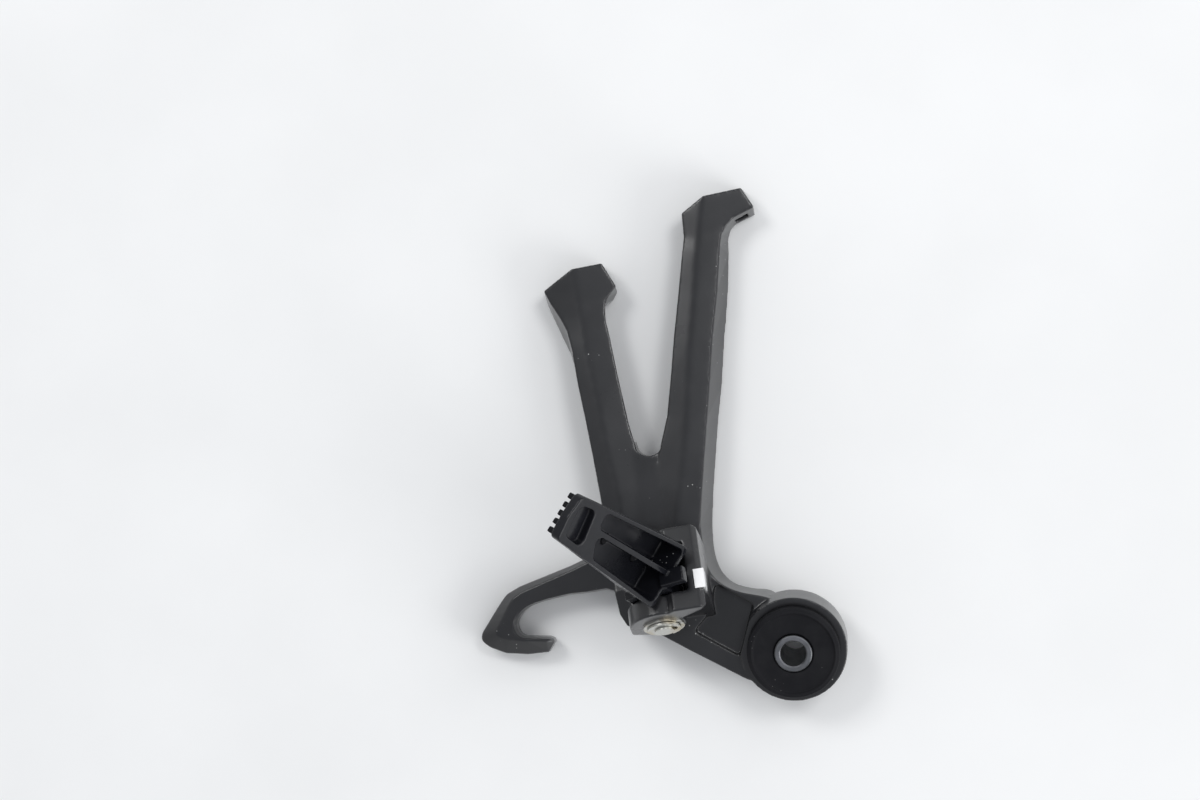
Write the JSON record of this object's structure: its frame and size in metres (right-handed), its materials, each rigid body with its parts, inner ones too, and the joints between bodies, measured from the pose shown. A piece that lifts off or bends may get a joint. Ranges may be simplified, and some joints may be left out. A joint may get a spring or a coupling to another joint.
{
  "type": "motorcycle passenger footrest hanger",
  "caption": "Cast footrest hanger with two mounting arms, a footrest folding on a clevis pin, a rubber-damped exhaust eye and a strap hook.",
  "frame": {"origin": "mouth of the front frame bolt hole, on the plane of the two frame mounting faces", "axes": "+Z away from the motorcycle, square to the mounting faces; +Y up the arms, along the longest extent; +X towards the front of the machine at the arms' top"},
  "size_m": [0.1531, 0.2121, 0.1069],
  "materials": {
    "casting": "satin black powder coat on die-cast aluminium",
    "peg_casting": "semi-gloss black paint on die-cast aluminium",
    "rubber": "matte moulded black rubber",
    "collar_steel": "plain grey steel",
    "zinc_plate": "bright zinc plate with a faint yellow tint"
  },
  "bodies": {
    "hanger": {"hanger": "casting", "exhaust_damper": "rubber", "damper_collar": "collar_steel", "stop_plate": "zinc_plate", "pivot_pin": "zinc_plate", "pin_washer": "zinc_plate", "pin_clip": "zinc_plate"},
    "footrest": {"peg_body": "peg_casting", "peg_rubber": "rubber", "detent_ball": "collar_steel", "detent_spring": "collar_steel"}
  },
  "joints": [
    {"name": "fold", "type": "hinge", "parent": "hanger", "child": "footrest", "pos_m": [-0.0197, -0.151, 0.029], "axis": [0.161, -0.9131, 0.3746], "range_deg": [-17.5, 67.5]}
  ]
}
